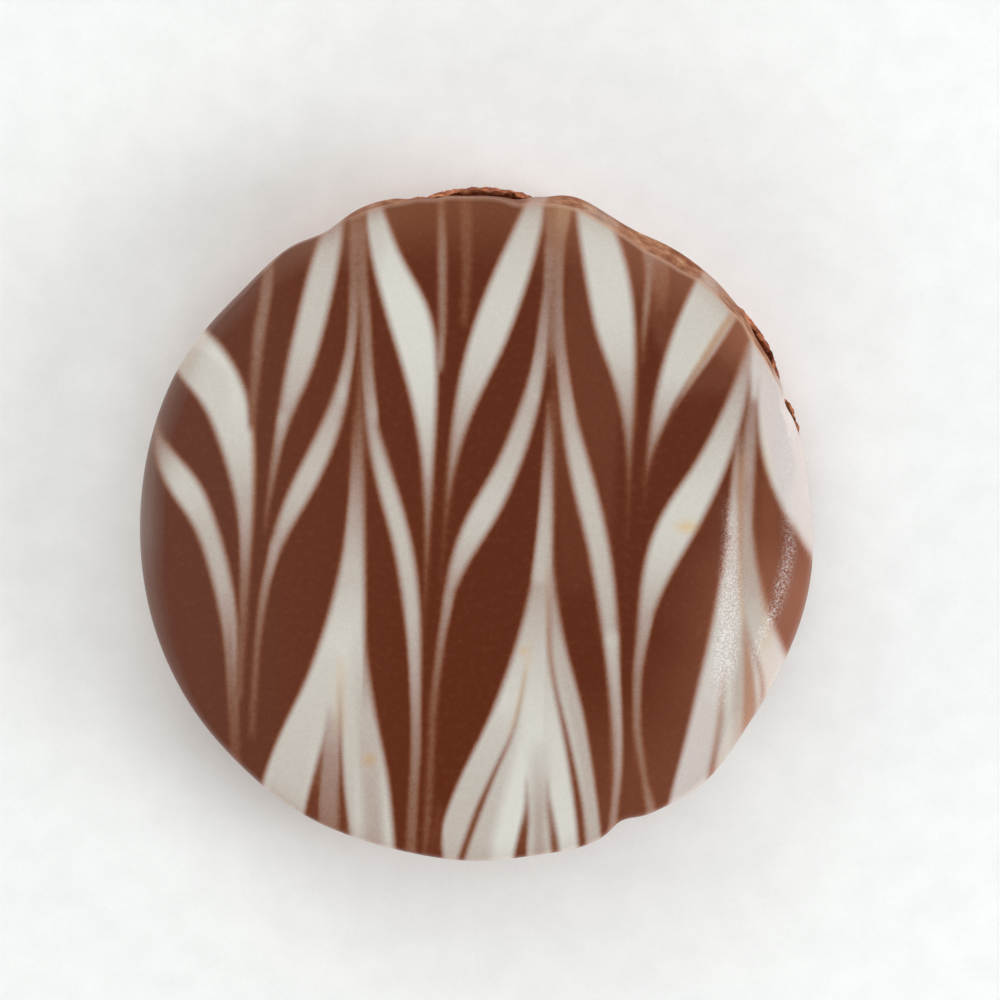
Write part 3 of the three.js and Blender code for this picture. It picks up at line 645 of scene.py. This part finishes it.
def disc(columns, rows):
    """Places on a round disc, from a grid with that many columns and rows on each side of the
    middle: angle, share of the radius, faces, and the points of its edge in order."""
    across, up = np.meshgrid(np.arange(-columns, columns + 1) / columns,
                             np.arange(-rows, rows + 1) / rows)
    wide = np.abs(across) > np.abs(up)
    larger = np.where(wide, across, up)
    smaller = np.where(wide, up, across)
    part = 45 * smaller / np.where(larger == 0, 1, larger)
    angle = np.where(wide, part, 90 - part) + np.where(larger < 0, 180, 0)
    angle, share = angle.ravel() % 360, np.abs(larger).ravel()
    number = np.arange(across.size).reshape(across.shape)
    corners = (number[:-1, :-1], number[:-1, 1:], number[1:, 1:], number[1:, :-1])
    faces = np.stack([c.ravel() for c in corners], axis=1).tolist()
    edge = np.flatnonzero(share == 1)
    return angle, share, faces, edge[np.argsort(angle[edge])]


def coat_rings(angle):
    """The coat outside the flat top, ring by ring: radius, height, and the places to read the
    marbling at, which keep to the view from above and then run on down the side."""
    foot, hem = shoulder_foot(angle), along(HEM, angle)
    jog = FLANK_JOG * bump(angle, *JOG_PLACE)
    rings = []
    for t in np.linspace(0, 1, SHOULDER_ROWS + 1)[1:]:
        r, z = shoulder(angle, t)
        rings.append((r, z, r, jog * smooth(t / JOG_SHARE)))
    side = [(coat_radius(angle) - HEM_TUCK * t * t, foot + (hem + HEM_ROUND - foot) * t)
            for t in np.linspace(0, 1, SIDE_ROWS + 1)[1:]]
    hem_radius = coat_radius(angle) - HEM_TUCK
    side += [(hem_radius - HEM_LIP / 2 * (1 - math.cos(t)), hem + HEM_ROUND * (1 - math.sin(t)))
             for t in np.linspace(0, math.pi, HEM_ROWS + 1)[1:]]
    ceiling = HEIGHT - COAT_TOP
    wall_top = np.minimum(ceiling - CEILING_STEP, foot - CEILING_INSET)
    side.append((coat_radius(angle) - COAT_SIDE, wall_top))
    side.append((rim_radius(angle) - CEILING_INSET, np.full_like(angle, ceiling)))
    rings += [(r, z, coat_radius(angle) + foot - np.minimum(z, foot), jog) for r, z in side]
    return rings


def make_coat():
    """The marbled coat: a disc for the flat top, and rings over the shoulder, down the side,
    round the hem and up the inside."""
    angle, share, faces, edge = disc(TOP_COLUMNS, TOP_ROWS)
    r = share * rim_radius(angle)
    z = top_height(angle, r)
    run, jog = r, np.zeros_like(r)
    last, round_angle = edge, angle[edge]
    for ring_r, ring_z, ring_run, ring_jog in coat_rings(round_angle):
        ring = angle.size + np.arange(edge.size)
        faces += ring_faces(last, ring)
        last = ring
        angle, r, z, run, jog = (np.concatenate(pair) for pair in (
            (angle, round_angle), (r, ring_r), (z, ring_z), (run, ring_run), (jog, ring_jog)))
    faces.append(last.tolist())
    turn = np.radians(angle)
    points = np.stack((r * np.cos(turn), r * np.sin(turn), z), axis=1)
    return build_mesh("marbled_coat_skin", points, faces, **surface_at(angle, run, jog))


def crumb_relief(place):
    """How far the crumb's fine relief stands out at a place: lumps, pits and flat cracks."""
    lump = noise.fractal(place * LUMP_RATE, *LUMP_OCTAVES)
    pit = noise.voronoi(place * PIT_RATE)[0][0]
    across = Vector((place.x, place.y, 0)) * CRACK_RATE
    across.z = place.z * CRACK_RISE + CRACK_START
    crack = math.exp(-((noise.noise(across) / CRACK_WIDTH) ** 2))
    return LUMP_DEPTH * lump + PIT_DEPTH * (pit - PIT_LEVEL) - CRACK_DEPTH * crack


def crumb_points(r, z, turn, calm):
    """A ring of the crumbly side with its relief; calm is the share of it that is left out."""
    points = []
    for radius, height, t in zip(r, z, turn):
        place = Vector((radius * math.cos(t), radius * math.sin(t), height))
        out = crumb_relief(place) * (1 - calm)
        points.append(((radius + out) * math.cos(t), (radius + out) * math.sin(t), height))
    return points


def crumb_rings(angle):
    """The crumbly side from the base up to its broken lip, and on over the groove to the core:
    radius, height, and the share of the fine relief that is left out."""
    chip = 0.5 + 0.5 * np.sin(CHIPS_COUNT * np.radians(angle))
    ledge = along(HEM, angle) - GAP - CHIPS_DEEP * chip
    rings = []
    for t in np.linspace(0, 1, CRUMB_ROWS + 1):
        z = ledge * t
        calm = max(0, 1 - t / FOOT_CALM)
        rings.append((crumb_radius(angle, z) + ripples(angle, z) * (1 - calm), z, calm))
    lip, core = crumb_radius(angle, ledge) + ripples(angle, ledge), core_radius(angle)
    floor = np.clip((lip - coat_radius(angle) - LIP_CLEAR) / (lip - core), LIP_SHARE, 1)
    for t in np.linspace(0, 1, LIP_ROWS + 1)[1:]:
        rings.append((lip + (core - lip) * t, ledge - LIP_GROOVE * smooth(t / floor), t))
    return rings


def core_rings(angle):
    """The smooth core inside the coat, above the groove: radius and height."""
    top = HEIGHT - COAT_TOP - GAP
    wall_top = np.minimum(top - CEILING_STEP, shoulder_foot(angle) - CEILING_INSET - GAP)
    top_radius = rim_radius(angle) - CEILING_INSET - GAP
    return [(core_radius(angle), wall_top), (top_radius, np.full_like(angle, top))]


def make_cookie():
    """The crumbly body of the cookie: a flat base, the side up to a broken lip, a groove behind
    the lip, and a smooth core inside the coat."""
    angle = np.arange(CRUMB_SIDES) * 360 / CRUMB_SIDES
    turn = np.radians(angle)
    points = []
    for r, z, calm in crumb_rings(angle):
        points += crumb_points(r, z, turn, calm)
    for r, z in core_rings(angle):
        points += np.stack((r * np.cos(turn), r * np.sin(turn), z), axis=1).tolist()
    rings = np.arange(len(points)).reshape(-1, CRUMB_SIDES)
    faces = [rings[0][::-1].tolist(), rings[-1].tolist()]
    for low, high in zip(rings, rings[1:]):
        faces += ring_faces(high, low)
    return build_mesh("cookie_crumb_body", points, faces)


def linear(colour):
    """An sRGB colour out of 255 as the linear colour that the shader takes."""
    share = np.array(colour) / 255
    return (*np.where(share <= 0.04045, share / 12.92, ((share + 0.055) / 1.055) ** 2.4), 1.0)


class Shading:
    """A new material, with short calls to add and join its nodes."""

    def __init__(self, name, roughness, gloss=0.5):
        self.material = bpy.data.materials.new(name)
        self.material.use_nodes = True
        self.nodes = self.material.node_tree.nodes
        self.links = self.material.node_tree.links
        self.shader = self.nodes["Principled BSDF"]
        self.shader.inputs["Roughness"].default_value = roughness
        self.shader.inputs["Specular IOR Level"].default_value = gloss

    def join(self, source, target):
        """Feeds a socket from another socket, or sets it to a number or a colour."""
        if isinstance(source, bpy.types.NodeSocket):
            self.links.new(source, target)
        else:
            target.default_value = source

    def attribute(self, name):
        """A number held on the points of the mesh."""
        node = self.nodes.new("ShaderNodeAttribute")
        node.attribute_name = name
        return node.outputs["Fac"]

    def place(self):
        return self.nodes.new("ShaderNodeTexCoord").outputs["Object"]

    def from_left(self):
        """How far to the right a place is: 0 at the cookie's left side, 1 at its right side."""
        split = self.nodes.new("ShaderNodeSeparateXYZ")
        self.join(self.place(), split.inputs[0])
        return self.math("MULTIPLY_ADD", split.outputs["X"], 0.5 / (RADIUS * MM), 0.5)

    def grain(self, size, detail=2.0):
        """Noise from 0 to 1 with lumps of a size in millimetres."""
        node = self.nodes.new("ShaderNodeTexNoise")
        self.join(self.place(), node.inputs["Vector"])
        node.inputs["Scale"].default_value = 1 / (size * MM)
        node.inputs["Detail"].default_value = detail
        return node.outputs["Fac"]

    def math(self, operation, a, b, c=0.0):
        node = self.nodes.new("ShaderNodeMath")
        node.operation = operation
        for source, target in zip((a, b, c), node.inputs):
            self.join(source, target)
        return node.outputs[0]

    def ramp(self, amount, stops):
        """A colour by amount, from pairs of a place from 0 to 1 and an sRGB colour."""
        node = self.nodes.new("ShaderNodeValToRGB")
        elements = node.color_ramp.elements
        elements.remove(elements[1])
        elements[0].position, elements[0].color = stops[0][0], linear(stops[0][1])
        for position, colour in stops[1:]:
            elements.new(position).color = linear(colour)
        self.join(amount, node.inputs["Fac"])
        return node.outputs["Color"]

    def mix(self, amount, a, b):
        """Colour a turned into colour b by an amount; the numbers are the node's own sockets."""
        node = self.nodes.new("ShaderNodeMix")
        node.data_type = "RGBA"
        for source, socket in ((amount, 0), (a, 6), (b, 7)):
            self.join(source, node.inputs[socket])
        return node.outputs[2]

    def shaded(self, colour, share):
        """A colour made darker or lighter by a share."""
        node = self.nodes.new("ShaderNodeVectorMath")
        node.operation = "SCALE"
        self.join(colour, node.inputs["Vector"])
        self.join(share, node.inputs["Scale"])
        return node.outputs["Vector"]

    def bump(self, height, depth):
        """Relief of a depth in millimetres where the height goes from 0 to 1."""
        node = self.nodes.new("ShaderNodeBump")
        node.inputs["Distance"].default_value = depth * MM
        self.join(height, node.inputs["Height"])
        self.join(node.outputs["Normal"], self.shader.inputs["Normal"])


def marbled_colour(shading):
    """Milk chocolate with white feathers: grain breaks up their edges, and faint patches show."""
    white = shading.attribute("white")
    unmixed = shading.math("MULTIPLY", white, shading.math("SUBTRACT", 1.0, white))
    grain = shading.math("SUBTRACT", shading.grain(EDGE_GRAIN, detail=3.0), 0.5)
    broken = shading.math("MULTIPLY", unmixed, EDGE_BREAK)
    grainy = shading.math("MULTIPLY_ADD", grain, broken, white)
    patches = shading.math("SUBTRACT", shading.grain(PATCH_GRAIN, detail=6.0), 0.5)
    mottled = shading.math("MULTIPLY_ADD", patches, PATCH_DEPTH, grainy)
    marbled = shading.ramp(mottled, MIXING)
    return shading.mix(shading.attribute("tan"), marbled, shading.ramp(grainy, TANNED))


def scuffed_and_lit_colour(shading, colour):
    """A colour under painted sheen and a painted pink tint, with flecks of painted sheen on the
    scuffs and a painted highlight line at the rim.
    """
    # painted sheen, its colour chosen by side
    painted_sheen = shading.ramp(shading.from_left(), SHEEN_COLOURS)
    colour = shading.mix(shading.attribute("painted_sheen"), colour, painted_sheen)
    # painted pinkish tint of light on the white
    colour = shading.mix(shading.attribute("painted_light_tint"), colour, linear(LIGHT_TINT_COLOUR))
    # flecks of painted sheen on the scuffs
    flecks = shading.ramp(shading.grain(FLECK_GRAIN, detail=5.0), SCUFF_AND_SHEEN_COLOURS)
    colour = shading.mix(shading.attribute("scuffs_and_sheen"), colour, flecks)
    # painted highlight line at the rim
    return shading.mix(shading.attribute("line"), colour, linear(RIM_HIGHLIGHT_COLOUR))


def chocolate():
    """The marbled coat: satin, duller on its scuffed shoulder, with painted glints and deeper
    relief at its two bends.
    """
    shading = Shading("marbled_chocolate", SMOOTH, GLOSS)
    colour = scuffed_and_lit_colour(shading, marbled_colour(shading))
    fine = shading.grain(FINE_GRAIN)
    shade = shading.math("MULTIPLY_ADD", fine, FINE_DEPTH, 1 - FINE_DEPTH / 2)
    shine = shading.attribute("shine")
    # painted glints put in the base colour where the shine lies
    painted_glints = shading.math("MULTIPLY_ADD", shading.grain(GLINT_GRAIN), GLINT_SHARPNESS, -GLINT_LOSS)
    painted_glints = shading.math("MULTIPLY", shine, painted_glints)
    colour = shading.mix(painted_glints, shading.shaded(colour, shade), linear(PAINTED_GLINT_COLOUR))
    shading.join(colour, shading.shader.inputs["Base Color"])
    roughness = shading.math("MULTIPLY_ADD", shading.attribute("scuffs_and_sheen"), SCUFFED - SMOOTH, SMOOTH)
    shading.join(roughness, shading.shader.inputs["Roughness"])
    deeper = shading.math("MULTIPLY_ADD", shine, SHINY_RELIEF - 1, 1.0)
    relief = shading.math("MULTIPLY", shading.grain(RELIEF_GRAIN, detail=3.0), deeper)
    shading.bump(relief, RELIEF_DEPTH)
    return shading.material


def crumb_material():
    """Reddish-brown crumb, mottled at random from dark to pale: the dark and pale ends are painted
    shade and highlight.
    """
    shading = Shading("cookie_crumb", CRUMB_ROUGHNESS)
    colour = shading.ramp(shading.grain(CRUMB_GRAIN, detail=5.0), CRUMB_AND_PAINTED_LIGHT_COLOURS)
    shading.join(colour, shading.shader.inputs["Base Color"])
    shading.bump(shading.grain(CRUMB_BUMPS, detail=4.0), CRUMB_BUMP_DEPTH)
    return shading.material


def floor_material():
    """Pale paper with a hint of its grain."""
    shading = Shading("pale_paper", PAPER_ROUGHNESS)
    paper = shading.ramp(shading.grain(PAPER_CLOUDS, detail=4.0), PAPER)
    fibres = shading.grain(FIBRE_GRAIN, detail=3.0)
    shade = shading.math("MULTIPLY_ADD", fibres, FIBRE_DEPTH, 1 - FIBRE_DEPTH / 2)
    shading.join(shading.shaded(paper, shade), shading.shader.inputs["Base Color"])
    return shading.material


def make_floor():
    bpy.ops.mesh.primitive_plane_add(size=FLOOR_SIDE)
    floor = bpy.context.object
    floor.name = "floor"
    floor.data.materials.append(floor_material())


def add_light(name, side, height, size, power, colour):
    """A soft square light that faces the cookie, from a side and a height in degrees."""
    data = bpy.data.lights.new(name, "AREA")
    data.size = size
    data.energy = power
    data.color = colour
    light = bpy.data.objects.new(name, data)
    flat, up = math.radians(side), math.radians(height)
    place = Vector((math.cos(flat) * math.cos(up), math.sin(flat) * math.cos(up), math.sin(up)))
    light.location = place * LIGHT_DISTANCE
    light.rotation_euler = (-place).to_track_quat("-Z", "Y").to_euler()
    bpy.context.collection.objects.link(light)


def set_room():
    """A room round the cookie that is pale at its walls and dark overhead."""
    world = bpy.data.worlds.new("studio")
    bpy.context.scene.world = world
    world.use_nodes = True
    nodes, links = world.node_tree.nodes, world.node_tree.links
    split = nodes.new("ShaderNodeSeparateXYZ")
    links.new(nodes.new("ShaderNodeTexCoord").outputs["Generated"], split.inputs[0])
    ramp = nodes.new("ShaderNodeValToRGB")
    elements = ramp.color_ramp.elements
    elements.remove(elements[1])
    elements[0].position, elements[0].color = 0, (*ROOM_COLOUR, 1)
    for height, share in ROOM:
        elements.new(height).color = (*(share * part for part in ROOM_COLOUR), 1)
    links.new(split.outputs["Z"], ramp.inputs["Fac"])
    links.new(ramp.outputs["Color"], nodes["Background"].inputs["Color"])
    nodes["Background"].inputs["Strength"].default_value = ROOM_STRENGTH


def set_camera():
    """A camera above, leaning towards CAMERA_SIDE, with the back of the cookie up."""
    tilt, side = math.radians(CAMERA_TILT), math.radians(CAMERA_SIDE)
    flat = math.sin(tilt)
    back = Vector((flat * math.cos(side), flat * math.sin(side), math.cos(tilt)))
    up = (Vector((0, 1, 0)) - back * back.y).normalized()
    right = up.cross(back)
    turn = Matrix((right, up, back)).transposed().to_4x4()
    place = (Vector(PHOTO_MIDDLE) + back * CAMERA_DISTANCE) * MM
    data = bpy.data.cameras.new("camera")
    data.sensor_width = SENSOR
    data.lens = PIXELS_PER_MM * CAMERA_DISTANCE * SENSOR / PHOTO_SIDE
    data.clip_start = CAMERA_NEAR
    camera = bpy.data.objects.new("camera", data)
    camera.matrix_world = Matrix.Translation(place) @ turn
    bpy.context.collection.objects.link(camera)
    bpy.context.scene.camera = camera


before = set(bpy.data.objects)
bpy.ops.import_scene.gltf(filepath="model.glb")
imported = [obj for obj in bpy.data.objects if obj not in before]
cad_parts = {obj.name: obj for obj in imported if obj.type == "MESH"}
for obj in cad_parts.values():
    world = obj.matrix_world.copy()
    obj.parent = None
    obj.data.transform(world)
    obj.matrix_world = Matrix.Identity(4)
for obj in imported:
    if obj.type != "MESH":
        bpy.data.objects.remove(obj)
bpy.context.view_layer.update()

coat = make_coat()
coat.data.materials.append(chocolate())
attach(coat, "root")
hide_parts("marbled_coat")

cookie = make_cookie()
cookie.data.materials.append(crumb_material())
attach(cookie, "root")
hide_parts("cookie_body")

make_floor()
set_room()
for light in LIGHTS:
    add_light(*light)
bpy.context.scene.view_settings.view_transform = "Standard"
set_camera()
